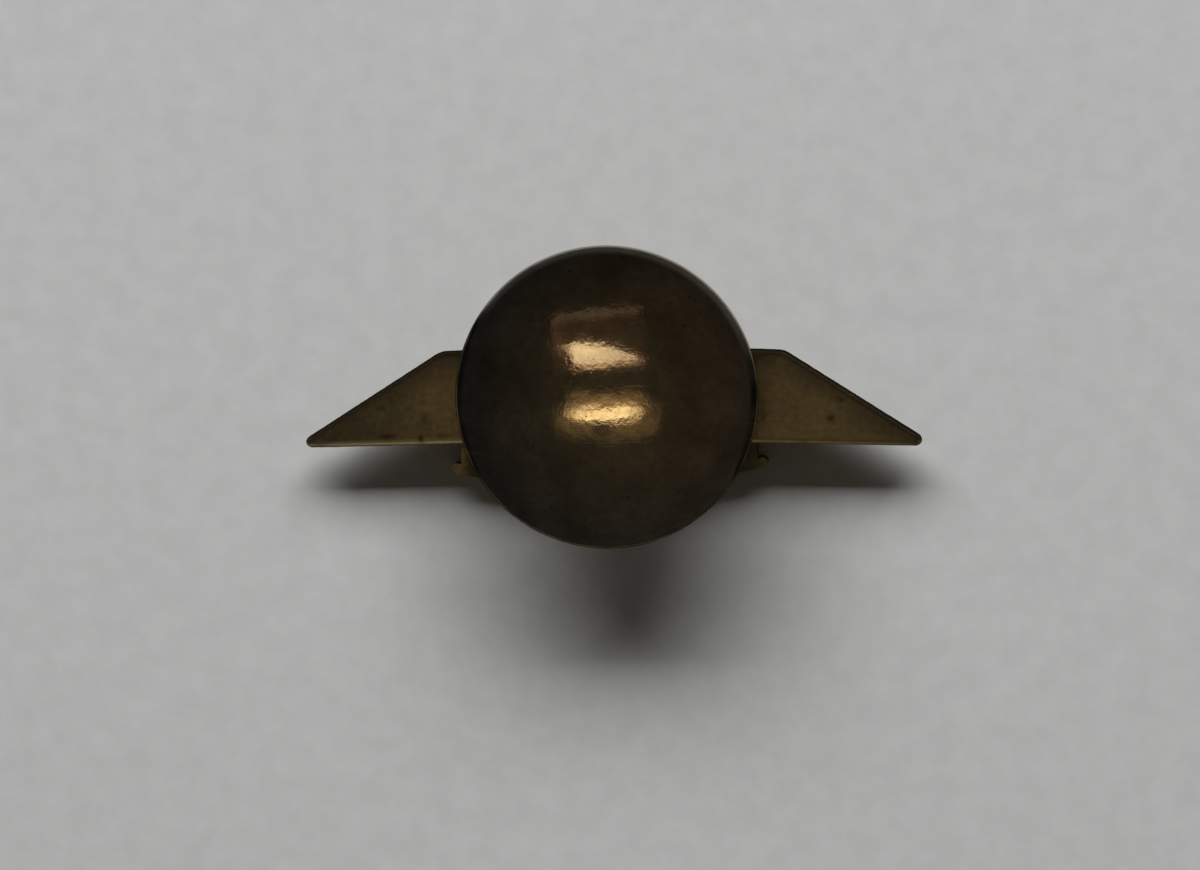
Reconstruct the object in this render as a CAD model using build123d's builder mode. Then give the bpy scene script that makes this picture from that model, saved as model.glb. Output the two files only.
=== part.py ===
from build123d import *
import os
from math import cos, pi, radians, sin, sqrt

os.makedirs("parts", exist_ok=True)

# A wings badge on a screw and nut, lying face down: z = 0 is the face it lies on, +X runs along the wings,
# and the screw's axis is the Z axis, with the nut's domed cap at the top. Sizes are in millimetres.

# Wings plate, seen from behind: a straight lower edge and a long sloping upper edge
plate_front_z = 1.3
plate_thickness = 0.9
plate_back_z = plate_front_z + plate_thickness
tip_x = 15.6
tip_top_y = -2.33
tip_bottom_x = 15.45
tip_bottom_y = -2.78
tip_radius = 0.18
shoulder_x = 8.65
shoulder_y = 2.08
shoulder_radius = 1.0
centre_top_y = 2.4
centre_bottom_y = -2.45
back_edge_radius = 0.22
front_edge_radius = 0.12

# Feather grooves in the front of each wing
feather_width = 0.8
groove_width = 0.2
groove_depth = 0.25
groove_start_x = 4.4
groove_end_margin = 1.3
feather_rows = 5
first_groove_y = -1.75

# Centre roundel on the front
roundel_radius = 4.0
roundel_ring_width = 0.6
roundel_field_depth = 0.4
roundel_edge_radius = 0.2
star_radius = 2.8
star_waist_radius = 1.15
star_points = 5
star_drop = 0.08

# Scroll below the roundel, with a lug at each end that is soldered under the wings, a little askew
scroll_shift_x = -0.28
scroll_turn = 1.0
scroll_half_width = 8.0
scroll_end_upper_y = -3.46
scroll_end_lower_y = -3.98
scroll_upper_sag = 0.74
scroll_lower_sag = 0.85
scroll_corner = 0.2
scroll_edge = 0.12
lug_x = 7.1
lug_width = 0.78
lug_top_y = -1.5

# Stud: a screw with a plain foot, held to the plate by a round pad and a fillet of solder
thread_pitch = 0.45
thread_crest_radius = 1.25
thread_root_radius = 0.97
thread_crest_flat = 0.06
thread_root_overlap = 0.03
stud_foot_radius = 1.2
stud_recess = 0.3
stud_plain_length = 0.8
stud_top_z = 7.8
stud_end_chamfer = 0.3
flange_radius = 2.4
flange_thickness = 0.45
flange_edge = 0.12
solder_reach = 0.45
solder_rise = 0.3
solder_hollow = 0.4

# Spurs that enter the cloth on each side of the stud
spur_x = 4.4
spur_radius = 0.35
spur_foot_radius = 0.6
spur_foot_height = 0.2
spur_straight_z = 3.5
spur_top_z = 4.5
spur_point_radius = 0.08

# Domed cap of the nut: a spherical cap of sheet brass on a rolled bead, with a lip curled under
cap_radius = 7.5
cap_bottom_z = 5.2
bead_radius = 0.3
dome_rise = 2.6
sheet_thickness = 0.4
lip_inner_radius = 5.55
bead_centre_radius = cap_radius - bead_radius
dome_base_z = cap_bottom_z + 2 * bead_radius
dome_top_z = dome_base_z + dome_rise
dome_sphere_radius = (bead_centre_radius**2 + dome_rise**2) / (2 * dome_rise)
dome_centre_z = dome_top_z - dome_sphere_radius
inner_sphere_radius = dome_sphere_radius - sheet_thickness
lip_top_z = cap_bottom_z + sheet_thickness

# Threaded bush inside the cap
bush_radius = 2.1
bush_bottom_z = 5.05
bush_top_z = 7.65
bush_bore_radius = thread_crest_radius + 0.05
bush_edge = 0.12
bush_solder_inner_radius = 1.6
bush_solder_outer_radius = 2.9
bush_solder_foot_z = 7.1

# Pressure disc, trapped behind the lip and standing a little proud of it
disc_thickness = 0.3
disc_flange_radius = 6.15
disc_step_radius = 5.3
disc_face_z = 5.0
disc_gap = 0.03
disc_hole_radius = bush_radius + 0.08
disc_edge = 0.1


def dome_inside_z(radius):
    """Height of the dome's inner surface at a distance from the axis."""
    return dome_centre_z + sqrt(inner_sphere_radius**2 - radius**2)


def dome_inside_radius(height):
    """Distance from the axis to the dome's inner surface at a height."""
    return sqrt(inner_sphere_radius**2 - (height - dome_centre_z) ** 2)


def dome_inside_midpoint(radius_a, radius_b):
    """A point of the dome's inner surface between two radii, as (radius, height)."""
    middle = (radius_a + radius_b) / 2
    return (middle, dome_inside_z(middle))


def finish(builder, name):
    """Name a finished piece and write it as its own STEP file."""
    builder.part.label = name
    export_step(builder.part, f"parts/{name}.step")
    print(f"{name}: {builder.part.volume:.2f} mm3")


# Wings plate
with BuildPart() as wings_plate:
    with BuildSketch(Plane.XY.offset(plate_front_z)):
        with BuildLine():
            Polyline(
                (0, centre_top_y),
                (shoulder_x, shoulder_y),
                (tip_x, tip_top_y),
                (tip_bottom_x, tip_bottom_y),
                (0, centre_bottom_y),
                close=True,
            )
        outline = make_face()
        shoulder = outline.vertices().sort_by_distance((shoulder_x, shoulder_y))[0]
        fillet(shoulder, radius=shoulder_radius)
        tip_corners = outline.vertices().sort_by(Axis.X)[-2:]
        fillet(tip_corners, radius=tip_radius)
        mirror(about=Plane.YZ)
    extrude(amount=plate_thickness)
    fillet(wings_plate.faces().sort_by(Axis.Z)[-1].outer_wire().edges(), radius=back_edge_radius)
    fillet(wings_plate.faces().sort_by(Axis.Z)[0].outer_wire().edges(), radius=front_edge_radius)
    # Long grooves between the feathers, each ending short of the sloping edge
    with BuildSketch(Plane.XY.offset(plate_front_z)):
        for row in range(feather_rows):
            groove_y = first_groove_y + row * feather_width
            slope_run = (shoulder_y - groove_y) * (tip_x - shoulder_x) / (shoulder_y - tip_top_y)
            groove_end_x = shoulder_x + slope_run - groove_end_margin
            groove_length = groove_end_x - groove_start_x
            for side in (1, -1):
                with Locations((side * (groove_start_x + groove_length / 2), groove_y)):
                    SlotOverall(groove_length, groove_width)
    extrude(amount=groove_depth, mode=Mode.SUBTRACT)
    # Shallow seat for the foot of the stud
    with BuildSketch(Plane.XY.offset(plate_back_z)):
        Circle(stud_foot_radius)
    extrude(amount=-stud_recess, mode=Mode.SUBTRACT)
finish(wings_plate, "wings_plate")


# Centre roundel: a disc with a raised ring and a star in its sunk field
with BuildPart() as centre_roundel:
    with BuildSketch():
        Circle(roundel_radius)
    extrude(amount=plate_front_z)
    fillet(centre_roundel.faces().sort_by(Axis.Z)[0].outer_wire().edges(), radius=roundel_edge_radius)
    with BuildSketch():
        Circle(roundel_radius - roundel_ring_width)
    extrude(amount=roundel_field_depth, mode=Mode.SUBTRACT)
    with BuildSketch(Plane.XY.offset(star_drop)):
        with BuildLine():
            star_outline = []
            for corner in range(2 * star_points):
                reach = star_waist_radius if corner % 2 else star_radius
                turn = pi / 2 + corner * pi / star_points
                star_outline.append((reach * cos(turn), reach * sin(turn)))
            Polyline(*star_outline, close=True)
        make_face()
    extrude(amount=roundel_field_depth)
finish(centre_roundel, "centre_roundel")


# Scroll: a gently sagging band with cut corners, and a lug at each end
scroll_x_direction = (cos(radians(scroll_turn)), sin(radians(scroll_turn)), 0)
scroll_plane = Plane(origin=(scroll_shift_x, 0, 0), x_dir=scroll_x_direction)
with BuildPart() as scroll:
    with BuildSketch(scroll_plane):
        with BuildLine():
            ThreePointArc(
                (-scroll_half_width, scroll_end_lower_y),
                (0, scroll_end_lower_y - scroll_lower_sag),
                (scroll_half_width, scroll_end_lower_y),
            )
            Line((scroll_half_width, scroll_end_lower_y), (scroll_half_width, scroll_end_upper_y))
            ThreePointArc(
                (scroll_half_width, scroll_end_upper_y),
                (0, scroll_end_upper_y - scroll_upper_sag),
                (-scroll_half_width, scroll_end_upper_y),
            )
            Line((-scroll_half_width, scroll_end_upper_y), (-scroll_half_width, scroll_end_lower_y))
        band = make_face()
        chamfer(band.vertices(), length=scroll_corner)
    extrude(amount=plate_front_z)
    fillet(scroll.faces().sort_by(Axis.Z)[0].outer_wire().edges(), radius=scroll_edge)
    with BuildSketch(scroll_plane.offset(scroll_edge)):
        lug_bottom_y = (scroll_end_upper_y + scroll_end_lower_y) / 2
        lug_height = lug_top_y - lug_bottom_y
        for side in (1, -1):
            with Locations((side * lug_x, lug_bottom_y + lug_height / 2)):
                Rectangle(lug_width, lug_height)
    extrude(amount=plate_front_z - scroll_edge)
finish(scroll, "scroll")


# Foot pad of the stud
with BuildPart() as stud_flange:
    with BuildSketch(Plane.XY.offset(plate_back_z)):
        Circle(flange_radius)
        Circle(stud_foot_radius, mode=Mode.SUBTRACT)
    extrude(amount=flange_thickness)
    flange_rim = stud_flange.edges().filter_by(GeomType.CIRCLE).sort_by(Axis.Z)[-2:].sort_by(SortBy.RADIUS)[-1]
    chamfer(flange_rim, length=flange_edge)
finish(stud_flange, "stud_flange")


# Solder fillet round the foot pad, with a hollow outer face
with BuildPart() as stud_solder:
    with BuildSketch(Plane.XZ):
        with BuildLine():
            solder_inner = (flange_radius, plate_back_z)
            solder_outer = (flange_radius + solder_reach, plate_back_z)
            solder_top = (flange_radius, plate_back_z + solder_rise)
            solder_waist = (
                flange_radius + solder_reach * solder_hollow,
                plate_back_z + solder_rise * solder_hollow,
            )
            Line(solder_inner, solder_outer)
            ThreePointArc(solder_outer, solder_waist, solder_top)
            Line(solder_top, solder_inner)
        make_face()
    revolve(axis=Axis.Z)
finish(stud_solder, "stud_solder")


# Stud: a core with a right-hand thread, cut to a chamfered end
thread_start_z = plate_back_z + stud_plain_length
with BuildPart() as thread_ridge:
    with BuildLine():
        ridge_path = Helix(
            pitch=thread_pitch,
            height=stud_top_z - thread_start_z + thread_pitch,
            radius=thread_root_radius,
            center=(0, 0, thread_start_z - thread_pitch / 2),
        )
    with BuildSketch(Plane(ridge_path @ 0, x_dir=(1, 0, 0), z_dir=ridge_path % 0)):
        with BuildLine():
            ridge_depth = thread_crest_radius - thread_root_radius
            ridge_half_base = thread_pitch * 0.42
            Polyline(
                (-thread_root_overlap, -ridge_half_base),
                (ridge_depth, -thread_crest_flat / 2),
                (ridge_depth, thread_crest_flat / 2),
                (-thread_root_overlap, ridge_half_base),
                close=True,
            )
        make_face()
    sweep(path=ridge_path, is_frenet=True)

with BuildPart() as threaded_stud:
    with BuildSketch(Plane.XY.offset(plate_back_z - stud_recess)):
        Circle(thread_root_radius)
    extrude(amount=stud_top_z - plate_back_z + stud_recess + thread_pitch)
    add(thread_ridge.part)
    with BuildSketch(Plane.XY.offset(plate_back_z - stud_recess)):
        Circle(stud_foot_radius)
    extrude(amount=stud_recess + stud_plain_length)
    # Trim the end of the thread to a chamfered tip
    with BuildSketch(Plane.XZ):
        with BuildLine():
            trim_radius = thread_crest_radius + thread_pitch
            Polyline(
                (0, stud_top_z),
                (thread_crest_radius - stud_end_chamfer, stud_top_z),
                (trim_radius, stud_top_z - stud_end_chamfer - thread_pitch),
                (trim_radius, stud_top_z + 2 * thread_pitch),
                (0, stud_top_z + 2 * thread_pitch),
                close=True,
            )
        make_face()
    revolve(axis=Axis.Z, mode=Mode.SUBTRACT)
finish(threaded_stud, "threaded_stud")


# Spurs: a small foot, a straight shank and a cone
def make_spur(side, name):
    """One spur, on the left (-1) or the right (1) of the stud."""
    with BuildPart() as spur:
        with BuildSketch(Plane.XY.offset(plate_back_z)):
            with Locations((side * spur_x, 0)):
                Circle(spur_foot_radius)
        extrude(amount=spur_foot_height)
        with BuildSketch(Plane.XY.offset(plate_back_z)):
            with Locations((side * spur_x, 0)):
                Circle(spur_radius)
        extrude(amount=spur_straight_z - plate_back_z)
        with BuildSketch(Plane.XY.offset(spur_straight_z)):
            with Locations((side * spur_x, 0)):
                Circle(spur_radius)
        with BuildSketch(Plane.XY.offset(spur_top_z)):
            with Locations((side * spur_x, 0)):
                Circle(spur_point_radius)
        loft()
    finish(spur, name)


make_spur(-1, "spur_left")
make_spur(1, "spur_right")


# Domed cap of the nut
with BuildPart() as nut_cap:
    with BuildSketch(Plane.XZ):
        with BuildLine():
            half_angle_radius = dome_sphere_radius * sin(radians(20))
            half_angle_z = dome_centre_z + dome_sphere_radius * cos(radians(20))
            lip_corner_radius = dome_inside_radius(lip_top_z)
            ThreePointArc(
                (0, dome_top_z),
                (half_angle_radius, half_angle_z),
                (bead_centre_radius, dome_base_z),
            )
            ThreePointArc(
                (bead_centre_radius, dome_base_z),
                (cap_radius, cap_bottom_z + bead_radius),
                (bead_centre_radius, cap_bottom_z),
            )
            Line((bead_centre_radius, cap_bottom_z), (lip_inner_radius, cap_bottom_z))
            Line((lip_inner_radius, cap_bottom_z), (lip_inner_radius, lip_top_z))
            Line((lip_inner_radius, lip_top_z), (lip_corner_radius, lip_top_z))
            ThreePointArc(
                (lip_corner_radius, lip_top_z),
                dome_inside_midpoint(0, lip_corner_radius),
                (0, dome_inside_z(0)),
            )
            Line((0, dome_inside_z(0)), (0, dome_top_z))
        make_face()
    revolve(axis=Axis.Z)
finish(nut_cap, "nut_cap")


# Threaded bush: its inner thread is left as a plain bore that clears the crests of the stud's thread
with BuildPart() as nut_bush:
    with BuildSketch(Plane.XY.offset(bush_bottom_z)):
        Circle(bush_radius)
        Circle(bush_bore_radius, mode=Mode.SUBTRACT)
    extrude(amount=bush_top_z - bush_bottom_z)
    chamfer(nut_bush.edges().filter_by(GeomType.CIRCLE).sort_by(Axis.Z)[:2], length=bush_edge)
finish(nut_bush, "nut_bush")


# Solder that joins the bush to the inside of the dome
with BuildPart() as bush_solder:
    with BuildSketch(Plane.XZ):
        with BuildLine():
            Line((bush_solder_inner_radius, bush_top_z), (bush_radius, bush_top_z))
            Line((bush_radius, bush_top_z), (bush_radius, bush_solder_foot_z))
            outer_z = dome_inside_z(bush_solder_outer_radius)
            inner_z = dome_inside_z(bush_solder_inner_radius)
            Line((bush_radius, bush_solder_foot_z), (bush_solder_outer_radius, outer_z))
            ThreePointArc(
                (bush_solder_outer_radius, outer_z),
                dome_inside_midpoint(bush_solder_inner_radius, bush_solder_outer_radius),
                (bush_solder_inner_radius, inner_z),
            )
            Line((bush_solder_inner_radius, inner_z), (bush_solder_inner_radius, bush_top_z))
        make_face()
    revolve(axis=Axis.Z)
finish(bush_solder, "bush_solder")


# Pressure disc: a stepped sheet disc, its flange behind the lip and its face towards the cloth
with BuildPart() as pressure_disc:
    flange_bottom_z = lip_top_z + disc_gap
    with BuildSketch(Plane.XZ):
        with BuildLine():
            Polyline(
                (disc_hole_radius, disc_face_z),
                (disc_step_radius, disc_face_z),
                (disc_step_radius, flange_bottom_z),
                (disc_flange_radius, flange_bottom_z),
                (disc_flange_radius, flange_bottom_z + disc_thickness),
                (disc_step_radius - disc_thickness, flange_bottom_z + disc_thickness),
                (disc_step_radius - disc_thickness, disc_face_z + disc_thickness),
                (disc_hole_radius, disc_face_z + disc_thickness),
                close=True,
            )
        make_face()
    revolve(axis=Axis.Z)
    face_rim = pressure_disc.edges().filter_by(GeomType.CIRCLE).sort_by(Axis.Z)[:2].sort_by(SortBy.RADIUS)[-1]
    fillet(face_rim, radius=disc_edge)
finish(pressure_disc, "pressure_disc")
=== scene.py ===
from math import cos, exp, hypot, pi, radians, sin, sqrt

import bpy
from mathutils import Matrix, Vector, noise


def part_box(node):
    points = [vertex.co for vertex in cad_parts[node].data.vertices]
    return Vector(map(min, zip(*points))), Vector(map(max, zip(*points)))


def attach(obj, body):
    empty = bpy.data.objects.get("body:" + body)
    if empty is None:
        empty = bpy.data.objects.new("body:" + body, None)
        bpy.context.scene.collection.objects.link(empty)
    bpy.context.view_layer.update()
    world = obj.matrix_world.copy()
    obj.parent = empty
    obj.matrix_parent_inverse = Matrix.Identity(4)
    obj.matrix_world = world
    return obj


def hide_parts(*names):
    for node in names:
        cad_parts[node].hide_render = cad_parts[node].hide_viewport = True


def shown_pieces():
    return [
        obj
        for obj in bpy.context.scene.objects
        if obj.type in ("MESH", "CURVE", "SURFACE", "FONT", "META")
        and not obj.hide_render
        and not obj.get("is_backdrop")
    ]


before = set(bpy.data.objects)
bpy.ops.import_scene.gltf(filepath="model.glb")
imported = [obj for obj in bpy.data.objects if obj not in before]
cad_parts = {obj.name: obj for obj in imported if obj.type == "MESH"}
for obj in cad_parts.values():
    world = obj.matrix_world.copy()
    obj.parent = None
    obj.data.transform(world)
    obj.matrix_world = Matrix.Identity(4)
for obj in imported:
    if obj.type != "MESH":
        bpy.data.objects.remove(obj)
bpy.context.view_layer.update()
scene = bpy.context.scene

MM = 0.001

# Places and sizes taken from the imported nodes, in metres
cap_low, cap_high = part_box("nut_cap")
plate_low, plate_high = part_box("wings_plate")

CAP_RADIUS = cap_high[0]
CAP_BOTTOM = cap_low[2]
CAP_TOP = cap_high[2]
PLATE_TIP_X = plate_high[0]
PLATE_FRONT = plate_low[2]
PLATE_BACK = plate_high[2]
SCROLL_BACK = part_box("scroll")[1][2]


# ---------------------------------------------------------------- mesh helpers

def add_mesh(name, points, faces, smooth=True):
    """A new mesh object from points and faces, linked to the scene."""
    mesh = bpy.data.meshes.new(name)
    mesh.from_pydata(points, [], faces)
    mesh.validate()
    mesh.update()
    if smooth:
        mesh.polygons.foreach_set("use_smooth", [True] * len(mesh.polygons))
    piece = bpy.data.objects.new(name, mesh)
    scene.collection.objects.link(piece)
    return piece


def add_attributes(piece, values_by_name):
    """Float values on every vertex, for the materials to read."""
    for name, values in values_by_name.items():
        attribute = piece.data.attributes.new(name, "FLOAT", "POINT")
        attribute.data.foreach_set("value", values)


def limited(value):
    """The value, kept between 0 and 1."""
    return min(1.0, max(0.0, value))


def smoothstep(low, high, value):
    """0 below low, 1 above high, and a soft ramp between."""
    t = limited((value - low) / (high - low))
    return t * t * (3.0 - 2.0 * t)


# ------------------------------------------------------------- node tree helpers

class NodeTree:
    """Short calls for adding nodes. A value is a number, a colour or another node's output."""

    def __init__(self, tree):
        self.nodes = tree.nodes
        self.links = tree.links

    def feed(self, socket, value):
        """Puts a value into a socket."""
        if isinstance(value, bpy.types.NodeSocket):
            self.links.new(value, socket)
        elif isinstance(value, (tuple, list)) and len(value) == 3 and socket.type == "RGBA":
            socket.default_value = (*value, 1.0)
        else:
            socket.default_value = value

    def math(self, operation, *values):
        node = self.nodes.new("ShaderNodeMath")
        node.operation = operation
        for socket, value in zip(node.inputs, values):
            self.feed(socket, value)
        return node.outputs[0]

    def times(self, product, *factors):
        """The product of two or more values."""
        for factor in factors:
            product = self.math("MULTIPLY", product, factor)
        return product

    def straight(self, value, slope, start):
        """The straight line start + slope * value."""
        return self.math("MULTIPLY_ADD", value, slope, start)

    def rise(self, value, low, high, interpolation="SMOOTHSTEP"):
        """0 below low and 1 above high, with a ramp between."""
        node = self.nodes.new("ShaderNodeMapRange")
        node.interpolation_type = interpolation
        self.links.new(value, node.inputs["Value"])
        node.inputs["From Min"].default_value = low
        node.inputs["From Max"].default_value = high
        return node.outputs["Result"]

    def vector_math(self, operation, *values):
        node = self.nodes.new("ShaderNodeVectorMath")
        node.operation = operation
        for socket, value in zip(node.inputs, values):
            self.feed(socket, value)
        return node.outputs[0]

    def mix(self, factor, a, b):
        """Colour a where factor is 0 and colour b where it is 1."""
        node = self.nodes.new("ShaderNodeMix")
        node.data_type = "RGBA"
        self.feed(node.inputs["Factor"], factor)
        self.feed(node.inputs["A"], a)
        self.feed(node.inputs["B"], b)
        return node.outputs["Result"]

    def split(self, vector):
        """The X, Y and Z outputs of a vector."""
        node = self.nodes.new("ShaderNodeSeparateXYZ")
        self.links.new(vector, node.inputs[0])
        return node.outputs

    def stretched(self, vector, scale, shift=(0, 0, 0), turn=(0, 0, 0)):
        """Coordinates that are scaled, shifted and turned."""
        mapping = self.nodes.new("ShaderNodeMapping")
        self.links.new(vector, mapping.inputs["Vector"])
        mapping.inputs["Scale"].default_value = scale
        mapping.inputs["Location"].default_value = shift
        mapping.inputs["Rotation"].default_value = turn
        return mapping.outputs["Vector"]

    def noise(self, vector, scale, detail=2.0, roughness=0.5, distortion=0.0):
        node = self.nodes.new("ShaderNodeTexNoise")
        self.links.new(vector, node.inputs["Vector"])
        node.inputs["Scale"].default_value = scale
        node.inputs["Detail"].default_value = detail
        node.inputs["Roughness"].default_value = roughness
        node.inputs["Distortion"].default_value = distortion
        return node.outputs["Fac"]


# The part of the streaky noise that shows as scratches
SCRATCH_FROM, SCRATCH_TO = 0.68, 0.74


class MaterialTree(NodeTree):
    """A new material with one shader, and the node tree that feeds it."""

    def __init__(self, name):
        self.material = bpy.data.materials.new(name)
        self.material.use_nodes = True
        super().__init__(self.material.node_tree)
        self.nodes.clear()
        output = self.nodes.new("ShaderNodeOutputMaterial")
        self.shader = self.nodes.new("ShaderNodeBsdfPrincipled")
        self.links.new(self.shader.outputs["BSDF"], output.inputs["Surface"])
        self.place = self.nodes.new("ShaderNodeTexCoord").outputs["Object"]

    def cloud(self, scale, detail=4.0, roughness=0.6, distortion=0.0):
        """Noise over the piece; the scale is in features per metre."""
        return self.noise(self.place, scale, detail, roughness, distortion)

    def ramp(self, value, *stops):
        """Colour ramp; each stop is (position, grey level or colour)."""
        node = self.nodes.new("ShaderNodeValToRGB")
        self.feed(node.inputs["Fac"], value)
        elements = node.color_ramp.elements
        while len(elements) < len(stops):
            elements.new(0.5)
        for element, (position, level) in zip(elements, stops):
            element.position = position
            colour = (level, level, level) if isinstance(level, (int, float)) else level
            element.color = (*colour, 1.0)
        return node.outputs["Color"]

    def mask(self, value, low, high):
        """0 below low and 1 above high, for mixing."""
        return self.ramp(value, (low, 0.0), (high, 1.0))

    def pits(self, scale, inner, outer):
        """A mask of small round pits; the scale is in pits per metre and the radii in cells."""
        node = self.nodes.new("ShaderNodeTexVoronoi")
        self.links.new(self.place, node.inputs["Vector"])
        node.inputs["Scale"].default_value = scale
        return self.ramp(node.outputs["Distance"], (inner, 1.0), (outer, 0.0))

    def scratches(self, turn, length=90.0, width=5200.0, shift=0.0):
        """A mask of fine straight scratches that run across the piece at an angle in radians."""
        vector = self.stretched(self.place, (length, width, length), (shift, shift, shift), (0, 0, turn))
        return self.mask(self.noise(vector, 1.0), SCRATCH_FROM, SCRATCH_TO)

    def attribute(self, name):
        node = self.nodes.new("ShaderNodeAttribute")
        node.attribute_name = name
        return node.outputs["Fac"]

    def bump(self, height, distance, strength, after=None):
        """Bump from a height value, stacked on an earlier bump if given."""
        node = self.nodes.new("ShaderNodeBump")
        node.inputs["Strength"].default_value = strength
        node.inputs["Distance"].default_value = distance
        self.feed(node.inputs["Height"], height)
        if after is not None:
            self.links.new(after, node.inputs["Normal"])
        return node.outputs["Normal"]

    def dent(self, mask, distance, strength, after):
        """Bump that sinks where the mask is 1."""
        return self.bump(self.times(mask, -1.0), distance, strength, after)

    def finish(self, colour, roughness, normal, metallic=1.0, edge_tint=(1.0, 1.0, 1.0)):
        self.shader.inputs["Specular Tint"].default_value = (*edge_tint, 1.0)
        self.feed(self.shader.inputs["Base Color"], colour)
        self.feed(self.shader.inputs["Roughness"], roughness)
        self.feed(self.shader.inputs["Metallic"], metallic)
        self.links.new(normal, self.shader.inputs["Normal"])
        return self.material


# --------------------------------------------------------------------- materials

# Colours are linear RGB. The tones are the stops of a colour ramp over a cloudy noise.
TONED_EDGE_TINT = (0.16, 0.13, 0.10)

CAP_TONES = (
    (0.30, (0.150, 0.104, 0.054)),
    (0.52, (0.225, 0.158, 0.084)),
    (0.72, (0.290, 0.205, 0.108)),
)
CAP_STAIN = (0.105, 0.075, 0.045)
# Rim colours: wear with a painted highlight on the lit side, then dullness with painted shade
CAP_WORN_AND_LIT_RIM = (0.50, 0.45, 0.34)
CAP_DULL_AND_SHADED = (0.040, 0.040, 0.028)
CAP_SCRATCH = (0.30, 0.21, 0.11)
CAP_PIT = (0.015, 0.010, 0.007)

WING_TONES = (
    (0.32, (0.215, 0.155, 0.070)),
    (0.50, (0.300, 0.218, 0.092)),
    (0.68, (0.375, 0.285, 0.110)),
)
WING_RED = (0.335, 0.200, 0.088)
WING_DARK_GRAIN = (0.110, 0.076, 0.036)
WING_WARM = (0.290, 0.185, 0.088)
WING_BAND = (0.100, 0.078, 0.046)
WING_DARK_EDGE = (0.045, 0.038, 0.027)
WING_STRIP_HIGHLIGHT = (0.62, 0.50, 0.25)
WING_STAIN = (0.085, 0.040, 0.014)
WING_SPOT = (0.060, 0.036, 0.018)
WING_SCRATCH = (0.48, 0.36, 0.17)

# Painted shade on the scroll, where the dome and the wings shade it: its colour, how strongly it covers each
# place, and where those places lie
SCROLL_SHADE = (0.035, 0.028, 0.018)
SCROLL_SHADE_AT_FAR_END = 0.68
SCROLL_SHADE_ON_NECKS = 0.62
SCROLL_SHADE_UNDER_NUT = 0.78
SCROLL_SHADE_FROM_X = 3.5 * MM
SCROLL_SHADE_CREEP = 4.0 * MM
SCROLL_SHADE_FADE = 3.0 * MM
NECK_FROM_Y = -3.5 * MM
NECK_TO_Y = -2.7 * MM
NUT_COVERS_TO_X = 7.30 * MM
NUT_CLEAR_FROM_X = 7.80 * MM
BACK_FROM_Z = SCROLL_BACK - 0.15 * MM
BACK_TO_Z = SCROLL_BACK - 0.05 * MM

TURNED_STAIN = (0.06, 0.042, 0.02)
TURNED_PIT = (0.02, 0.014, 0.009)
SOLDER_DARK = (0.11, 0.105, 0.095)
SOLDER_LIGHT = (0.30, 0.29, 0.27)
SOLDER_PIT = (0.04, 0.036, 0.03)
FLOOR_DARK = (0.60, 0.60, 0.60)
FLOOR_LIGHT = (0.64, 0.64, 0.64)


def cap_material():
    """Deeply toned, polished brass of the domed nut."""
    tree = MaterialTree("cap_toned_brass")
    cloud = tree.cloud(420.0, detail=5.0)
    mottle = tree.cloud(2600.0)
    haze = tree.cloud(900.0, detail=5.0, roughness=0.65)
    ripple = tree.cloud(5200.0, detail=2.0, roughness=0.5)
    rim = tree.attribute("rim")
    groove = tree.attribute("groove")
    fine_a = tree.scratches(0.55, length=260.0)
    fine_b = tree.scratches(-0.35, length=210.0, shift=3.1)
    fine_c = tree.scratches(1.25, length=300.0, width=4200.0, shift=7.7)
    lines = tree.math("MAXIMUM", fine_a, tree.math("MAXIMUM", fine_b, fine_c))
    pits = tree.pits(1500.0, inner=0.045, outer=0.09)

    base = tree.ramp(cloud, *CAP_TONES)
    base = tree.mix(tree.times(tree.mask(mottle, 0.42, 0.66), 0.35), base, CAP_STAIN)
    # Wear with a painted highlight, where the rim faces the light
    base = tree.mix(rim, base, CAP_WORN_AND_LIT_RIM)
    # Dullness inside the cap, and painted shade round the rest of the rim
    base = tree.mix(groove, base, CAP_DULL_AND_SHADED)
    base = tree.mix(tree.times(lines, 0.18), base, CAP_SCRATCH)
    base = tree.mix(tree.times(pits, 0.8), base, CAP_PIT)

    rough = tree.straight(haze, 0.14, 0.03)
    rough = tree.straight(lines, 0.05, rough)
    rough = tree.straight(rim, 0.14, rough)

    normal = tree.bump(cloud, distance=0.00010, strength=0.35)
    normal = tree.bump(ripple, distance=0.000003, strength=0.10, after=normal)
    normal = tree.dent(pits, distance=0.000006, strength=0.4, after=normal)
    normal = tree.dent(lines, distance=0.000002, strength=0.3, after=normal)
    return tree.finish(base, rough, normal, edge_tint=TONED_EDGE_TINT)


def painted_shade_mask(tree, cloud):
    """How much painted shade darkens the scroll: at its far end, on its necks beside the dome, and on its
    back under the nut.
    """
    x, y, z = tree.split(tree.place)
    creep = tree.straight(cloud, SCROLL_SHADE_CREEP, x)
    far_end = tree.rise(creep, SCROLL_SHADE_FROM_X, SCROLL_SHADE_FROM_X + SCROLL_SHADE_FADE, "LINEAR")
    necks = tree.rise(y, NECK_FROM_Y, NECK_TO_Y, "LINEAR")
    clear = tree.rise(tree.math("ABSOLUTE", x), NUT_COVERS_TO_X, NUT_CLEAR_FROM_X, "LINEAR")
    on_back = tree.rise(z, BACK_FROM_Z, BACK_TO_Z, "LINEAR")
    covered = tree.times(tree.math("SUBTRACT", 1.0, clear), on_back)
    scroll_shade = tree.math("MAXIMUM", tree.times(far_end, SCROLL_SHADE_AT_FAR_END), tree.times(necks, SCROLL_SHADE_ON_NECKS))
    return tree.math("MAXIMUM", scroll_shade, tree.times(covered, SCROLL_SHADE_UNDER_NUT))


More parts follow.
